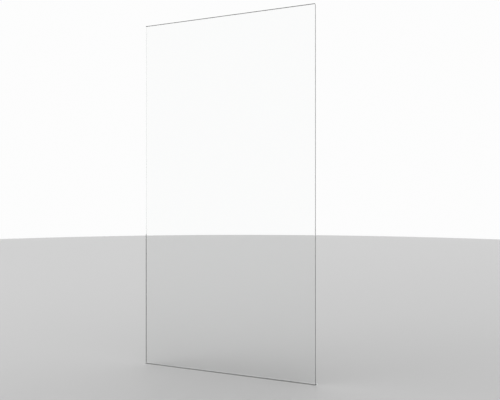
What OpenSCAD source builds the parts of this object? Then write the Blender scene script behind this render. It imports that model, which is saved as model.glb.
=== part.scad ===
// Frameless glass screen that stands upright in a channel sunk flush into the floor.
// Millimetres. X runs along the screen, -Y is its front and +Z is up. The origin is the
// centre of the channel's underside.

/* [Glass] */
// Width of the glass
glass_w = 600; // [600:10:900]
// Height of the glass, with the part that is sunk in the channel
glass_h = 1200; // [600:10:1500]
// Thickness of the glass
glass_t = 8; // [8, 10, 12]
// Width of the ground arris along every edge
arris = 0.5; // [0.5:0.1:1.5]
// Radius of the dubbed corners
corner_r = 2; // [1:0.5:5]

/* [Floor channel] */
// Thickness of the channel's two walls
wall_t = 4; // [4:0.5:6]
// Thickness of the channel's base
base_t = 6; // [5:0.5:6]
// Height of the channel, from its underside to the finished floor
channel_h = 46; // [46:1:60]
// Gap between the glass and each wall
gap = 4; // [4:0.1:5]
// Gap between each end of the glass and the end plate, which a rubber end seal fills
end_gap = 3; // [2:0.5:5]
// Radius where the walls meet the base
fillet_r = 1.5; // [1:0.1:1.5]

/* [Floor screw holes] */
// Distance between neighbouring holes
hole_pitch = 180; // [160:5:180]
// Diameter of the holes
hole_d = 7; // [6:0.5:7]
// Diameter of the countersinks at their top
countersink_d = 12.4; // [11:0.2:12.4]

/* [End plates] */
// Thickness of the plates
plate_t = 2.5; // [2:0.5:3]
// Diameter of the screws' cores
screw_core_d = 2.2; // [2:0.1:2.2]
// Diameter of the screws' heads
screw_head_d = 5.4; // [5:0.1:5.4]
// Length of the screws
screw_l = 13; // [9:1:16]

/* [Setting blocks] */
// Thickness of the blocks that the glass stands on
block_t = 5; // [4:0.5:6]
// Width of the blocks
block_w = 12; // [10:0.5:13]
// Distance from the middle of the screen to the middle of each block
block_x = 150; // [140:5:150]

/* [Packers and wedges] */
// Length of every block, packer and wedge along the channel
piece_l = 60; // [40:5:60]
// Distance from the middle packer to the outer ones
packer_x = 215; // [210:5:220]
// Height of the packers and wedges
packer_h = 30; // [25:1:30]
// Thickness of a wedge at its thick end
wedge_thick = 2.4; // [2.2:0.1:2.6]

/* [Gaskets] */
// Depth of the gaskets in the channel
gasket_h = 8; // [7:0.5:8]
// How far the gaskets' top lips stand above the floor
lip_h = 1; // [0.8:0.1:1.5]
// How far the top lips lap onto the channel's walls
lip_lap = 0.8; // [0.5:0.1:2]

/* [Hidden] */
$fn = 48;

cavity_w = glass_t + 2 * gap;
channel_w = cavity_w + 2 * wall_t;
channel_l = glass_w + 2 * end_gap;
glass_z = base_t + block_t;
face_y = glass_t / 2;
wall_y = cavity_w / 2;
outer_y = channel_w / 2;
end_x = channel_l / 2;

// Screw ports run the whole length of the channel, one at each foot of a wall
port_y = wall_y + 1;
port_z = 3.4;
port_r = screw_core_d / 2;

// Grooves for the gaskets' feet, and shallow keys for the bedding mortar
groove_z = channel_h - 6.6;
groove_h = 3;
groove_d = 1.4;
key_z = [13, 25];
key_h = 6;
key_d = 0.7;
lip_bevel = 0.4;

packer_z = base_t;
packer_top = packer_z + packer_h;
wedge_thin = gap - wedge_thick;
relief_w = 4;
relief_d = 1.2;

gasket_z = channel_h - gasket_h;
foot_h = 2.4;
foot_d = 1.2;
foot_root = 0.2;
bulb_r = 0.9;
lip_round = 0.5;

screw_head_h = 1.3;
screw_clear = 0.25;
fit_clear = 0.02;
rubber_clear = 0.05;
end_clear = 0.2;
seal_bevel = 0.5;

// How far a cutting tool runs on past the face it cuts
past = 1;

// Extrudes a profile drawn in Y and Z along the screen, centred on x = 0
module along_x(length) {
    rotate([90, 0, 90])
        linear_extrude(height = length, center = true)
            children();
}

// A rectangle of w by h with its four corners cut off at 45 degrees, on the origin
module bevelled_rectangle(w, h, cut) {
    x = w / 2;
    y = h / 2;
    polygon([
        [-x + cut, -y], [x - cut, -y], [x, -y + cut], [x, y - cut],
        [x - cut, y], [-x + cut, y], [-x, y - cut], [-x, -y + cut]
    ]);
}

// A rectangle of w by h with round corners, on the origin
module rounded_rectangle(w, h, r) {
    square([w - 2 * r, h], center = true);
    square([w, h - 2 * r], center = true);
    for (x = [-1, 1], y = [-1, 1])
        translate([x * (w / 2 - r), y * (h / 2 - r)])
            circle(r);
}

// ---- Glass ----

module glass_panel() {
    color("azure", 0.35)
        translate([0, 0, glass_z + glass_h / 2])
            intersection() {
                rotate([90, 0, 0])
                    linear_extrude(height = glass_t, center = true)
                        rounded_rectangle(glass_w, glass_h, corner_r);
                along_x(glass_w)
                    bevelled_rectangle(glass_t, glass_h, arris);
                linear_extrude(height = glass_h, center = true)
                    bevelled_rectangle(glass_w, glass_t, arris);
            }
}

// ---- Floor channel ----

module cavity_profile() {
    translate([-wall_y, base_t + fillet_r])
        square([cavity_w, channel_h]);
    translate([-wall_y + fillet_r, base_t])
        square([cavity_w - 2 * fillet_r, 2 * fillet_r]);
    for (side = [-1, 1])
        translate([side * (wall_y - fillet_r), base_t + fillet_r])
            circle(fillet_r);
}

// The outline of the closed section, with small bevels on its two top edges
module outer_profile() {
    polygon([
        [-outer_y, 0], [outer_y, 0],
        [outer_y, channel_h - lip_bevel], [outer_y - lip_bevel, channel_h],
        [-outer_y + lip_bevel, channel_h], [-outer_y, channel_h - lip_bevel]
    ]);
}

module channel_profile() {
    difference() {
        outer_profile();
        cavity_profile();
        for (side = [-1, 1]) {
            translate([side * wall_y, groove_z + groove_h / 2])
                square([2 * groove_d, groove_h], center = true);
            translate([side * port_y, port_z])
                circle(port_r);
            for (z = key_z)
                translate([side * outer_y, z + key_h / 2])
                    square([2 * key_d, key_h], center = true);
        }
    }
}

// A hole through the base for a countersunk floor screw
module floor_screw_hole() {
    sink_h = (countersink_d - hole_d) / 2;
    translate([0, 0, -past])
        cylinder(d = hole_d, h = base_t + 2 * past);
    translate([0, 0, base_t - sink_h])
        cylinder(d1 = hole_d, d2 = countersink_d, h = sink_h);
}

module floor_channel() {
    color("silver")
        difference() {
            along_x(channel_l)
                channel_profile();
            for (step = [-1.5, -0.5, 0.5, 1.5])
                translate([step * hole_pitch, 0, 0])
                    floor_screw_hole();
        }
}

// ---- End plates and their screws ----

// Everything about an end plate is drawn for the right-hand end and mirrored to the left
module at_end(side) {
    mirror([side < 0 ? 1 : 0, 0, 0])
        translate([end_x, 0, 0])
            children();
}

module screw_countersink(clearance) {
    rotate([0, 90, 0])
        cylinder(
            d1 = screw_core_d + 2 * clearance,
            d2 = screw_head_d + 2 * clearance,
            h = screw_head_h
        );
}

module end_plate(side) {
    color("silver")
        at_end(side)
            difference() {
                rotate([90, 0, 90])
                    linear_extrude(height = plate_t)
                        outer_profile();
                for (row = [-1, 1])
                    translate([0, row * port_y, port_z]) {
                        rotate([0, 90, 0])
                            translate([0, 0, -past])
                                cylinder(d = screw_core_d + 2 * screw_clear, h = plate_t + 2 * past);
                        translate([plate_t - screw_head_h, 0, 0])
                            screw_countersink(screw_clear);
                    }
            }
}

module end_plate_left() {
    end_plate(-1);
}

module end_plate_right() {
    end_plate(1);
}

// A countersunk screw along -X with a cross recess in its head, which is flush at x = 0
module plate_screw() {
    slot_w = 0.7;
    slot_l = 3;
    slot_d = 0.9;
    tip_d = 0.8;
    tip_l = 1.6;
    shank_d = screw_core_d - 2 * fit_clear;
    difference() {
        union() {
            translate([-screw_head_h, 0, 0])
                screw_countersink(0);
            translate([tip_l - screw_l, 0, 0])
                rotate([0, 90, 0])
                    cylinder(d = shank_d, h = screw_l - tip_l - screw_head_h / 2);
            translate([-screw_l, 0, 0])
                rotate([0, 90, 0])
                    cylinder(d1 = tip_d, d2 = shank_d, h = tip_l);
        }
        for (turn = [0, 90])
            rotate([turn, 0, 0])
                cube([2 * slot_d, slot_w, slot_l], center = true);
    }
}

module end_plate_screws() {
    color("lightgrey")
        for (side = [-1, 1], row = [-1, 1])
            at_end(side)
                translate([plate_t, row * port_y, port_z])
                    plate_screw();
}

// ---- Setting blocks ----

// A block the glass stands on, with two long grooves in its underside that let water past
module setting_block(x) {
    drain_w = 2;
    drain_h = 1.5;
    color("dimgray")
        translate([x, 0, base_t])
            along_x(piece_l)
                difference() {
                    translate([-block_w / 2, 0])
                        square([block_w, block_t]);
                    for (side = [-1, 1])
                        translate([side * block_w / 4, 0])
                            square([drain_w, 2 * drain_h], center = true);
                }
}

module setting_block_left() {
    setting_block(-block_x);
}

module setting_block_right() {
    setting_block(block_x);
}

// ---- Front packers ----

// Fills the gap between the glass and the front wall. Its foot clears the channel's fillet,
// and upright reliefs in its wall side lighten it
module front_packer(x) {
    relief_pitch = piece_l / 5;
    color("white")
        translate([x, 0, 0])
            difference() {
                along_x(piece_l)
                    polygon([
                        [-face_y, packer_z], [-face_y, packer_top],
                        [-wall_y, packer_top], [-wall_y, packer_z + fillet_r],
                        [-wall_y + fillet_r, packer_z]
                    ]);
                for (step = [-1.5, -0.5, 0.5, 1.5])
                    translate([step * relief_pitch, -wall_y, packer_z + packer_h / 2])
                        cube([relief_w, 2 * relief_d, packer_h + 2 * past], center = true);
            }
}

module front_packer_left() {
    front_packer(-packer_x);
}

module front_packer_middle() {
    front_packer(0);
}

module front_packer_right() {
    front_packer(packer_x);
}

// ---- Wedges ----

// Lies against the rear wall, thick at its foot
module fixed_wedge(x) {
    color("white")
        translate([x, 0, 0])
            along_x(piece_l)
                polygon([
                    [wall_y - wedge_thick, packer_z], [wall_y - fillet_r, packer_z],
                    [wall_y, packer_z + fillet_r], [wall_y, packer_top],
                    [wall_y - wedge_thin, packer_top]
                ]);
}

// Driven down between the glass and the fixed wedge, thick at its top. Two notches in its
// driving ledge take the tool that pulls it out again
module drive_wedge(x) {
    foot_clear = 1;
    ledge_h = 2;
    ledge_clear = 0.4;
    notch_w = 6;
    notch_x = 18;
    foot_t = wedge_thin + (wedge_thick - wedge_thin) * foot_clear / packer_h;
    color("orange")
        translate([x, 0, 0])
            difference() {
                along_x(piece_l)
                    polygon([
                        [face_y, packer_z + foot_clear],
                        [face_y + foot_t, packer_z + foot_clear],
                        [face_y + wedge_thick, packer_top],
                        [wall_y - ledge_clear, packer_top],
                        [wall_y - ledge_clear, packer_top + ledge_h],
                        [face_y, packer_top + ledge_h]
                    ]);
                for (side = [-1, 1])
                    translate([side * notch_x, wall_y, packer_top])
                        cube([notch_w, 2 * wedge_thin, 3 * ledge_h], center = true);
            }
}

module fixed_wedge_left() {
    fixed_wedge(-packer_x);
}

module fixed_wedge_middle() {
    fixed_wedge(0);
}

module fixed_wedge_right() {
    fixed_wedge(packer_x);
}

module drive_wedge_left() {
    drive_wedge(-packer_x);
}

module drive_wedge_middle() {
    drive_wedge(0);
}

module drive_wedge_right() {
    drive_wedge(packer_x);
}

// ---- End seals ----

// Stands between the end of the glass and the end plate, level with the floor
module end_seal(side) {
    color("gray")
        at_end(side)
            translate([-end_gap, 0, 0])
                rotate([90, 0, 0])
                    linear_extrude(height = glass_t - 2 * rubber_clear, center = true)
                        polygon([
                            [rubber_clear, base_t], [end_gap, base_t],
                            [end_gap, channel_h], [rubber_clear + seal_bevel, channel_h],
                            [rubber_clear, channel_h - seal_bevel]
                        ]);
}

module end_seal_left() {
    end_seal(-1);
}

module end_seal_right() {
    end_seal(1);
}

// ---- Gaskets ----

// A gasket's section on the +Y side: a hollow body between the glass and the wall, a foot
// that snaps into the wall's groove, and a sloped lip that laps onto the channel's top
module gasket_profile(lead_in) {
    inner_y = face_y + rubber_clear;
    foot_z = groove_z + (groove_h - foot_h) / 2;
    difference() {
        union() {
            polygon([
                [inner_y, gasket_z + lead_in], [inner_y + lead_in, gasket_z],
                [wall_y, gasket_z], [wall_y, channel_h], [inner_y, channel_h]
            ]);
            polygon([
                [wall_y - foot_root, foot_z], [wall_y + foot_d / 2, foot_z],
                [wall_y + foot_d, foot_z + foot_h / 2],
                [wall_y + foot_d / 2, foot_z + foot_h], [wall_y - foot_root, foot_z + foot_h]
            ]);
            polygon([
                [inner_y, channel_h], [wall_y + lip_lap, channel_h],
                [wall_y + lip_lap, channel_h + lip_h / 3],
                [inner_y + lip_round, channel_h + lip_h], [inner_y, channel_h + lip_h]
            ]);
        }
        translate([(inner_y + wall_y) / 2, groove_z + groove_h / 2])
            circle(bulb_r);
    }
}

module front_gasket() {
    lead_in = 0.4;
    color("gray")
        along_x(channel_l - 2 * end_clear)
            mirror([1, 0])
                gasket_profile(lead_in);
}

// Pressed in last, so its lower edge is cut back further to lead it down beside the glass
module rear_gasket() {
    lead_in = 1.8;
    color("gray")
        along_x(channel_l - 2 * end_clear)
            gasket_profile(lead_in);
}

glass_panel();
floor_channel();
end_plate_left();
end_plate_right();
end_plate_screws();
setting_block_left();
setting_block_right();
front_packer_left();
front_packer_middle();
front_packer_right();
fixed_wedge_left();
fixed_wedge_middle();
fixed_wedge_right();
drive_wedge_left();
drive_wedge_middle();
drive_wedge_right();
end_seal_left();
end_seal_right();
front_gasket();
rear_gasket();
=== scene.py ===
import math

import bpy
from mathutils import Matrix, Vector


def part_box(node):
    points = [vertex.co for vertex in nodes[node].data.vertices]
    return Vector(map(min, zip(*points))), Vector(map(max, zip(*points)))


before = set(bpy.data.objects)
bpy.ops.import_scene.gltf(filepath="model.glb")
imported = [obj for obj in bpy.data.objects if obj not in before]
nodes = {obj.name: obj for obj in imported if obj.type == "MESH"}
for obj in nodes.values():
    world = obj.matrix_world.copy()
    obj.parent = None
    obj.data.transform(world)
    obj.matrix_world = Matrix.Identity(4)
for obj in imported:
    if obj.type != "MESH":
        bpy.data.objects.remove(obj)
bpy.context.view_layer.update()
bpy.ops.object.select_all(action="DESELECT")


# ---- Camera ----
# The eye is a little under half as high as the glass stands, and to the right of its middle,
# so the right-hand edge is the near one. The camera is level, which keeps uprights upright.

channel_low, channel_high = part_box("floor_channel")
glass_low, glass_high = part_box("glass_panel")
FLOOR_Z = channel_high.z
EYE_HEIGHT = 0.4849 * (glass_high.z - FLOOR_Z)
EYE_DISTANCE = 1.7612
EYE_BEARING = math.radians(24.0)
CAMERA_TURN = math.radians(21.42)
SENSOR_WIDTH = 36
LENS_LENGTH = 38.88

camera_data = bpy.data.cameras.new("camera")
camera_data.sensor_width = SENSOR_WIDTH
camera_data.lens = LENS_LENGTH
camera = bpy.data.objects.new("camera", camera_data)
bpy.context.scene.collection.objects.link(camera)
camera.location = (
    EYE_DISTANCE * math.sin(EYE_BEARING),
    -EYE_DISTANCE * math.cos(EYE_BEARING),
    FLOOR_Z + EYE_HEIGHT,
)
camera.rotation_euler = (math.pi / 2, 0, CAMERA_TURN)
bpy.context.scene.camera = camera


# ---- Studio floor ----
# The finished floor is level with the top of the channel: one round pale sheet with a slot in
# it that the channel and its end plates fill, so their top edges lie flush.

FLOOR_SIDE = 12.2  # of the square that is then rounded into a disc
RIM_CUTS = 31
PALE_FLOOR = (0.44, 0.44, 0.44, 1)
# painted shade: the floor's colour where it is seen through the glass's edges
EDGE_PAINTED_SHADE = (0.02, 0.02, 0.02, 1)
FLOOR_GLOSS = 0.5
FLOOR_ROUGHNESS = 0.28
STRAIGHT_THROUGH = 2.5  # more turns than this, and light has turned inside an edge
plate_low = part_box("end_plate_left")[0]
plate_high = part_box("end_plate_right")[1]
slot_length = plate_high.x - plate_low.x
slot_width = channel_high.y - channel_low.y


def new_material(name):
    """An empty material, with its tree and its Principled shader."""
    material = bpy.data.materials.new(name)
    material.use_nodes = True
    tree = material.node_tree
    return material, tree, tree.nodes["Principled BSDF"]


def add_node(tree, kind, **settings):
    """Adds a node; each setting is one of its sockets if it has one of that name, or a property."""
    node = tree.nodes.new(kind)
    for name, value in settings.items():
        if name.replace("_", " ") in node.inputs:
            node.inputs[name.replace("_", " ")].default_value = value
        else:
            setattr(node, name, value)
    return node


def calculate(tree, operation, first, second):
    """A Math node on two values, each a number or the output that it comes from."""
    node = add_node(tree, "ShaderNodeMath", operation=operation)
    for socket, value in zip(node.inputs, (first, second)):
        if isinstance(value, (int, float)):
            socket.default_value = value
        else:
            tree.links.new(value, socket)
    return node.outputs["Value"]


def mix_colours(tree, factor, first, second):
    """A colour between two, each a colour or the output that it comes from."""
    node = add_node(tree, "ShaderNodeMix", data_type="RGBA")
    colour_sockets = (node.inputs[0], node.inputs[6], node.inputs[7])
    for socket, value in zip(colour_sockets, (factor, first, second)):
        if isinstance(value, (int, float, tuple)):
            socket.default_value = value
        else:
            tree.links.new(value, socket)
    return node.outputs[2]


bpy.ops.mesh.primitive_plane_add(size=1)
floor = bpy.context.object
floor.name = "studio_floor"
floor.scale = (slot_length, slot_width, 1)
floor.location = (0, 0, FLOOR_Z)
bpy.ops.object.transform_apply(location=True, rotation=True, scale=True)
bpy.ops.object.mode_set(mode="EDIT")
bpy.ops.mesh.select_all(action="SELECT")
bpy.ops.mesh.delete(type="ONLY_FACE")
bpy.ops.mesh.select_all(action="SELECT")
bpy.ops.mesh.extrude_edges_move()
bpy.ops.transform.resize(value=(FLOOR_SIDE / slot_length, FLOOR_SIDE / slot_width, 1))
bpy.ops.mesh.subdivide(number_cuts=RIM_CUTS)
bpy.ops.transform.tosphere(value=1)
bpy.ops.object.mode_set(mode="OBJECT")

# Light that has turned inside the glass's edges meets a dark, dull floor: painted shade that
# draws the glass's edges as dark lines; every direct sight of the floor is pale.
floor_material, tree, shader = new_material("studio_floor")
path = add_node(tree, "ShaderNodeLightPath")
turned = calculate(tree, "GREATER_THAN", path.outputs["Ray Depth"], STRAIGHT_THROUGH)
tree.links.new(mix_colours(tree, turned, PALE_FLOOR, EDGE_PAINTED_SHADE), shader.inputs["Base Color"])
gloss = calculate(tree, "MULTIPLY", calculate(tree, "SUBTRACT", 1.0, turned), FLOOR_GLOSS)
tree.links.new(gloss, shader.inputs["Specular IOR Level"])
shader.inputs["Roughness"].default_value = FLOOR_ROUGHNESS
floor.data.materials.append(floor_material)


# ---- Studio light ----
# A white room lights everything evenly, slightly less from the front, and one large soft lamp
# high on the left gives the metal and the rubber some shape.

BACK_LIGHT = (0.98, 0.98, 0.98, 1)
FRONT_LIGHT = (0.94, 0.94, 0.94, 1)
LAMP_PLACE = (-2.6, -1.6, 3.4)
LAMP_POWER = 30

world = bpy.data.worlds.new("studio")
bpy.context.scene.world = world
world.use_nodes = True
tree = world.node_tree
direction = add_node(tree, "ShaderNodeTexCoord").outputs["Generated"]
towards_back = add_node(tree, "ShaderNodeMapRange", From_Min=-0.7, From_Max=0.2)
separate = add_node(tree, "ShaderNodeSeparateXYZ")
tree.links.new(direction, separate.inputs[0])
tree.links.new(separate.outputs["Y"], towards_back.inputs["Value"])
tree.links.new(
    mix_colours(tree, towards_back.outputs[0], FRONT_LIGHT, BACK_LIGHT),
    tree.nodes["Background"].inputs["Color"],
)
bpy.context.scene.view_settings.view_transform = "Standard"

bpy.ops.object.light_add(type="AREA", location=LAMP_PLACE)
lamp = bpy.context.object
lamp.data.shape = "RECTANGLE"
lamp.data.size = 2.4
lamp.data.size_y = 1.6
lamp.data.energy = LAMP_POWER
lamp.rotation_euler = (Vector((0, 0, FLOOR_Z)) - lamp.location).to_track_quat("-Z", "Y").to_euler()


# ---- Floor channel ----
# An extruded aluminium section, natural anodised to a satin finish. It is screwed down in a
# recess and bedded in mortar, so only the top edges of its two walls show.

ANODISED = (0.66, 0.665, 0.675, 1)
ANODISED_PALE = (0.78, 0.785, 0.79, 1)
DUST = (0.55, 0.53, 0.5, 1)


def start_group(name, inputs, outputs):
    """A shader node group whose sockets are all plain numbers, and its two end nodes."""
    group = bpy.data.node_groups.new(name, "ShaderNodeTree")
    for socket, value in inputs.items():
        made = group.interface.new_socket(socket, in_out="INPUT", socket_type="NodeSocketFloat")
        made.default_value = value
    for socket in outputs:
        group.interface.new_socket(socket, in_out="OUTPUT", socket_type="NodeSocketFloat")
    return group, group.nodes.new("NodeGroupInput"), group.nodes.new("NodeGroupOutput")


def use_group(tree, group, **settings):
    """Places a group in a material's tree with its own values."""
    node = add_node(tree, "ShaderNodeGroup", node_tree=group)
    for name, value in settings.items():
        node.inputs[name.replace("_", " ")].default_value = value
    return node


# Fine lines that the die draws along an extrusion: noise stretched a hundredfold along X
drawn_lines, group_in, group_out = start_group(
    "drawn_lines", {"Lines per Metre": 1500.0}, ["Tone", "Height"]
)
place = add_node(drawn_lines, "ShaderNodeTexCoord").outputs["Object"]
stretch = add_node(drawn_lines, "ShaderNodeMapping", Scale=(0.01, 1, 1))
fine = add_node(drawn_lines, "ShaderNodeTexNoise", Detail=3.0, Roughness=0.6)
broad = add_node(drawn_lines, "ShaderNodeTexNoise", Scale=9.0, Detail=2.0)
drawn_lines.links.new(place, stretch.inputs["Vector"])
drawn_lines.links.new(stretch.outputs["Vector"], fine.inputs["Vector"])
drawn_lines.links.new(group_in.outputs["Lines per Metre"], fine.inputs["Scale"])
drawn_lines.links.new(place, broad.inputs["Vector"])
tone = calculate(drawn_lines, "MULTIPLY", fine.outputs["Fac"], broad.outputs["Fac"])
drawn_lines.links.new(calculate(drawn_lines, "MULTIPLY", tone, 2.0), group_out.inputs["Tone"])
drawn_lines.links.new(fine.outputs["Fac"], group_out.inputs["Height"])

# Dust that settles on what faces up, in patches
settled_dust, group_in, group_out = start_group(
    "settled_dust", {"Amount": 0.5, "Patches per Metre": 60.0}, ["Cover"]
)
facing = add_node(settled_dust, "ShaderNodeNewGeometry")
upward = add_node(settled_dust, "ShaderNodeSeparateXYZ")
patches = add_node(settled_dust, "ShaderNodeTexNoise", Detail=4.0, Roughness=0.7)
edge_of_patch = add_node(settled_dust, "ShaderNodeMapRange", From_Min=0.42, From_Max=0.68)
level = add_node(settled_dust, "ShaderNodeMapRange", From_Min=0.4, From_Max=0.7)
settled_dust.links.new(facing.outputs["Normal"], upward.inputs[0])
settled_dust.links.new(upward.outputs["Z"], level.inputs["Value"])
place = add_node(settled_dust, "ShaderNodeTexCoord").outputs["Object"]
settled_dust.links.new(place, patches.inputs["Vector"])
settled_dust.links.new(group_in.outputs["Patches per Metre"], patches.inputs["Scale"])
settled_dust.links.new(patches.outputs["Fac"], edge_of_patch.inputs["Value"])
cover = calculate(settled_dust, "MULTIPLY", edge_of_patch.outputs[0], level.outputs[0])
cover = calculate(settled_dust, "MULTIPLY", cover, group_in.outputs["Amount"])
settled_dust.links.new(cover, group_out.inputs["Cover"])


def add_bump(tree, shader, height, depth, strength=1.0):
    """Feeds a height of 0 to 1 to the shader's normal; depth is the height of 1 in metres."""
    bump = add_node(tree, "ShaderNodeBump", Strength=strength, Distance=depth)
    tree.links.new(height, bump.inputs["Height"])
    tree.links.new(bump.outputs["Normal"], shader.inputs["Normal"])


def rough_between(tree, shader, tone, low, high):
    """Lets the shader's roughness follow a tone of 0 to 1."""
    spread = add_node(tree, "ShaderNodeMapRange", To_Min=low, To_Max=high)
    tree.links.new(tone, spread.inputs["Value"])
    tree.links.new(spread.outputs[0], shader.inputs["Roughness"])


def finish_nodes(names, *materials):
    """Gives the CAD nodes their materials; where there are several, faces are set afterwards."""
    for name in names:
        slots = nodes[name].data.materials
        slots.clear()
        for material in materials:
            slots.append(material)


anodised, tree, shader = new_material("anodised_aluminium")
lines = use_group(tree, drawn_lines, Lines_per_Metre=1500.0)
dust = use_group(tree, settled_dust, Amount=0.35, Patches_per_Metre=70.0)
metal_colour = mix_colours(tree, lines.outputs["Tone"], ANODISED, ANODISED_PALE)
tree.links.new(mix_colours(tree, dust.outputs["Cover"], metal_colour, DUST), shader.inputs["Base Color"])
shader.inputs["Metallic"].default_value = 1
rough_between(tree, shader, lines.outputs["Tone"], 0.3, 0.5)
add_bump(tree, shader, lines.outputs["Height"], 0.00002)
finish_nodes(["floor_channel"], anodised)


# ---- End plates ----
# Flat aluminium blanks sawn from sheet and anodised like the channel. They close its ends and
# keep the mortar out, and each is held by two screws into ports in the extrusion.

# A rolled sheet's even, finely speckled skin
rolled_skin, group_in, group_out = start_group(
    "rolled_skin", {"Grain per Metre": 4000.0}, ["Tone", "Height"]
)
place = add_node(rolled_skin, "ShaderNodeTexCoord").outputs["Object"]
speckle = add_node(rolled_skin, "ShaderNodeTexNoise", Detail=3.0, Roughness=0.65)
cloud = add_node(rolled_skin, "ShaderNodeTexNoise", Scale=80.0, Detail=2.0)
rolled_skin.links.new(place, speckle.inputs["Vector"])
rolled_skin.links.new(place, cloud.inputs["Vector"])
rolled_skin.links.new(group_in.outputs["Grain per Metre"], speckle.inputs["Scale"])
tone = calculate(rolled_skin, "ADD", speckle.outputs["Fac"], cloud.outputs["Fac"])
rolled_skin.links.new(calculate(rolled_skin, "MULTIPLY", tone, 0.5), group_out.inputs["Tone"])
rolled_skin.links.new(speckle.outputs["Fac"], group_out.inputs["Height"])

plate_metal, tree, shader = new_material("anodised_plate")
skin = use_group(tree, rolled_skin, Grain_per_Metre=4000.0)
dust = use_group(tree, settled_dust, Amount=0.35, Patches_per_Metre=70.0)
metal_colour = mix_colours(tree, skin.outputs["Tone"], ANODISED, ANODISED_PALE)
tree.links.new(mix_colours(tree, dust.outputs["Cover"], metal_colour, DUST), shader.inputs["Base Color"])
shader.inputs["Metallic"].default_value = 1
rough_between(tree, shader, skin.outputs["Tone"], 0.32, 0.52)
add_bump(tree, shader, skin.outputs["Height"], 0.00001)
finish_nodes(["end_plate_left", "end_plate_right"], plate_metal)


# ---- End plate screws ----
# Small countersunk stainless screws, turned and cold-headed, driven in flush with the plates.

STAINLESS = (0.5, 0.49, 0.48, 1)
STAINLESS_BRIGHT = (0.7, 0.69, 0.68, 1)

steel, tree, shader = new_material("stainless_steel")
skin = use_group(tree, rolled_skin, Grain_per_Metre=9000.0)
steel_colour = mix_colours(tree, skin.outputs["Tone"], STAINLESS, STAINLESS_BRIGHT)
tree.links.new(steel_colour, shader.inputs["Base Color"])
shader.inputs["Metallic"].default_value = 1
rough_between(tree, shader, skin.outputs["Tone"], 0.2, 0.4)
add_bump(tree, shader, skin.outputs["Height"], 0.000008)
finish_nodes(["end_plate_screws"], steel)


# ---- Setting blocks ----
# Hard black rubber, cut from strip. They carry the glass's weight clear of the metal, and their
# grooved undersides let water run past.

BLOCK_BLACK = (0.02, 0.02, 0.021, 1)
BLOCK_GREY = (0.06, 0.06, 0.062, 1)

# Fine pebble of a moulded or extruded skin, with broader patches of tone
moulded_skin, group_in, group_out = start_group(
    "moulded_skin", {"Pebbles per Metre": 2500.0}, ["Tone", "Height"]
)
place = add_node(moulded_skin, "ShaderNodeTexCoord").outputs["Object"]
pebble = add_node(moulded_skin, "ShaderNodeTexVoronoi", feature="SMOOTH_F1", Smoothness=0.6)
bloom = add_node(moulded_skin, "ShaderNodeTexNoise", Scale=45.0, Detail=4.0, Roughness=0.6)
moulded_skin.links.new(place, pebble.inputs["Vector"])
moulded_skin.links.new(place, bloom.inputs["Vector"])
moulded_skin.links.new(group_in.outputs["Pebbles per Metre"], pebble.inputs["Scale"])
tone = calculate(moulded_skin, "MULTIPLY", pebble.outputs["Distance"], 0.4)
tone = calculate(moulded_skin, "ADD", tone, bloom.outputs["Fac"])
moulded_skin.links.new(calculate(moulded_skin, "MULTIPLY", tone, 0.8), group_out.inputs["Tone"])
moulded_skin.links.new(pebble.outputs["Distance"], group_out.inputs["Height"])


def moulded_material(name, colour, other_colour, rough, pebbles, depth, dust_amount):
    """Plastic or rubber with a moulded skin and a little dust on what faces up."""
    material, tree, shader = new_material(name)
    skin = use_group(tree, moulded_skin, Pebbles_per_Metre=pebbles)
    dust = use_group(tree, settled_dust, Amount=dust_amount, Patches_per_Metre=90.0)
    plain = mix_colours(tree, skin.outputs["Tone"], colour, other_colour)
    dusty = mix_colours(tree, dust.outputs["Cover"], plain, DUST)
    tree.links.new(dusty, shader.inputs["Base Color"])
    rough_between(tree, shader, skin.outputs["Tone"], rough - 0.08, rough + 0.12)
    add_bump(tree, shader, skin.outputs["Height"], depth)
    return material


block_rubber = moulded_material("block_rubber", BLOCK_BLACK, BLOCK_GREY, 0.7, 2200.0, 0.00008, 0.0)
finish_nodes(["setting_block_left", "setting_block_right"], block_rubber)


# ---- Glass ----
# One sheet of 8 mm low-iron toughened glass, cut, ground and polished before toughening. Its
# end faces are polished clear, the wheel leaves a satin on the narrow arrises beside them, and
# the two arrises of its top edge are painted dark grey, a painted shade that draws the top edge as a
# dark line.

CLEAR = (0.985, 0.99, 0.988, 1)
EDGE_TINT = (0.45, 0.49, 0.48, 1)  # what is left of light that runs the sheet's whole width
ARRIS_TINT = (0.95, 0.96, 0.96, 1)
# painted shade: a dark grey on the top edge's arrises, to draw the top edge as a dark line
TOP_EDGE_PAINTED_SHADE = (0.1, 0.1, 0.1, 1)
PAINTED_SHADE_REACH = 0.0015
GLASS_IOR = 1.52

# What handling and wiping leave on a broad face: faint streaks and a few soft patches
wiped_film, group_in, group_out = start_group(
    "wiped_film", {"Streaks per Metre": 12.0}, ["Film"]
)
place = add_node(wiped_film, "ShaderNodeTexCoord").outputs["Object"]
sweep = add_node(wiped_film, "ShaderNodeMapping", Scale=(1, 1, 0.25), Rotation=(0, 0.5, 0))
streaks = add_node(wiped_film, "ShaderNodeTexNoise", Detail=5.0, Roughness=0.62, Distortion=0.4)
clear_gap = add_node(wiped_film, "ShaderNodeMapRange", From_Min=0.58, From_Max=0.82)
wiped_film.links.new(place, sweep.inputs["Vector"])
wiped_film.links.new(sweep.outputs["Vector"], streaks.inputs["Vector"])
wiped_film.links.new(group_in.outputs["Streaks per Metre"], streaks.inputs["Scale"])
wiped_film.links.new(streaks.outputs["Fac"], clear_gap.inputs["Value"])
wiped_film.links.new(clear_gap.outputs[0], group_out.inputs["Film"])

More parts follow.
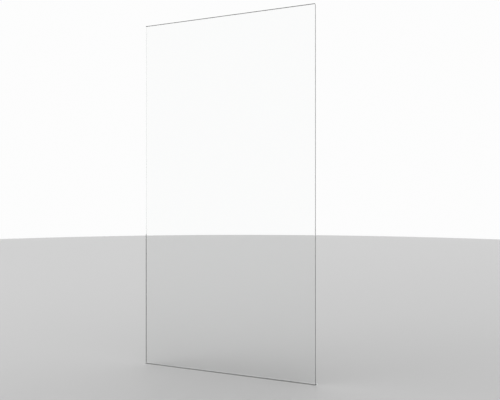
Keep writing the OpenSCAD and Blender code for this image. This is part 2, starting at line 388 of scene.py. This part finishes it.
# The broad, shallow wave that the toughening oven's rollers leave. Both faces follow it the
# same way, so it bends what the glass reflects and not what is seen through it.
roller_wave, group_in, group_out = start_group("roller_wave", {"Waves per Metre": 5.0}, ["Height"])
place = add_node(roller_wave, "ShaderNodeTexCoord").outputs["Object"]
across = add_node(roller_wave, "ShaderNodeSeparateXYZ")
roller_wave.links.new(place, across.inputs[0])
turns = calculate(roller_wave, "MULTIPLY", across.outputs["Z"], group_in.outputs["Waves per Metre"])
wave = calculate(roller_wave, "SINE", calculate(roller_wave, "MULTIPLY", turns, 2 * math.pi), 0)
facing = add_node(roller_wave, "ShaderNodeNewGeometry")
front_or_back = add_node(roller_wave, "ShaderNodeSeparateXYZ")
roller_wave.links.new(facing.outputs["True Normal"], front_or_back.inputs[0])
roller_wave.links.new(
    calculate(roller_wave, "MULTIPLY", wave, front_or_back.outputs["Y"]), group_out.inputs["Height"]
)


def glass_material(name, tint):
    """Solid clear glass; the finish of the face is added to the tree that comes back."""
    material, tree, shader = new_material(name)
    shader.inputs["Base Color"].default_value = tint
    shader.inputs["IOR"].default_value = GLASS_IOR
    shader.inputs["Transmission Weight"].default_value = 1
    return material, tree, shader


glass_face, tree, shader = glass_material("glass_face", CLEAR)
film = use_group(tree, wiped_film, Streaks_per_Metre=12.0)
rough_between(tree, shader, film.outputs["Film"], 0.0, 0.025)
wave = use_group(tree, roller_wave, Waves_per_Metre=4.0)
add_bump(tree, shader, wave.outputs["Height"], 0.00001)

glass_edge, tree, shader = glass_material("glass_edge", EDGE_TINT)
skin = use_group(tree, rolled_skin, Grain_per_Metre=2500.0)
rough_between(tree, shader, skin.outputs["Tone"], 0.0, 0.05)

glass_arris, tree, shader = glass_material("glass_arris", ARRIS_TINT)
skin = use_group(tree, rolled_skin, Grain_per_Metre=6000.0)
height = add_node(tree, "ShaderNodeSeparateXYZ")
tree.links.new(add_node(tree, "ShaderNodeTexCoord").outputs["Object"], height.inputs[0])
# the arrises along the top edge take the painted shade
at_top = calculate(tree, "GREATER_THAN", height.outputs["Z"], glass_high.z - PAINTED_SHADE_REACH)
tree.links.new(mix_colours(tree, at_top, ARRIS_TINT, TOP_EDGE_PAINTED_SHADE), shader.inputs["Base Color"])
rough_between(tree, shader, skin.outputs["Tone"], 0.12, 0.3)
add_bump(tree, shader, skin.outputs["Height"], 0.00001)

finish_nodes(["glass_panel"], glass_face, glass_edge, glass_arris)
FACE_SLOT, EDGE_SLOT, ARRIS_SLOT = range(3)
for face in nodes["glass_panel"].data.polygons:
    turned_to_front_or_back = abs(face.normal.y)
    if turned_to_front_or_back > 0.99:
        face.material_index = FACE_SLOT
    else:
        face.material_index = ARRIS_SLOT if turned_to_front_or_back > 0.1 else EDGE_SLOT


# ---- Front packers and fixed wedges ----
# Injection-moulded natural nylon. The packers hold the glass off the front wall, and the fixed
# wedges lie against the rear wall, thick end down.

NYLON = (0.68, 0.67, 0.63, 1)
NYLON_SHADE = (0.78, 0.775, 0.75, 1)

packer_plastic = moulded_material("packer_plastic", NYLON, NYLON_SHADE, 0.48, 3000.0, 0.00003, 0.1)
for row in ("front_packer", "fixed_wedge"):
    finish_nodes([f"{row}_{place}" for place in ("left", "middle", "right")], packer_plastic)


# ---- Drive wedges ----
# Injection-moulded glass-filled nylon, grey. Each is driven down between the glass and its
# fixed wedge, which clamps the glass, and two notches let a hook pull it out again.

WEDGE_GREY = (0.13, 0.135, 0.145, 1)
WEDGE_PALE = (0.2, 0.205, 0.215, 1)

wedge_plastic = moulded_material("wedge_plastic", WEDGE_GREY, WEDGE_PALE, 0.42, 3600.0, 0.00004, 0.1)
finish_nodes([f"drive_wedge_{place}" for place in ("left", "middle", "right")], wedge_plastic)


# ---- End seals and gaskets ----
# Grey extruded rubber. A strip each side of the glass snaps into its wall and laps over the top
# edge of the channel, and a small block fills the gap at each end of the glass.

RUBBER = (0.3, 0.3, 0.3, 1)
RUBBER_PALE = (0.39, 0.39, 0.39, 1)

gasket_rubber = moulded_material("gasket_rubber", RUBBER, RUBBER_PALE, 0.6, 1800.0, 0.00005, 0.25)
finish_nodes(["end_seal_left", "end_seal_right", "front_gasket", "rear_gasket"], gasket_rubber)
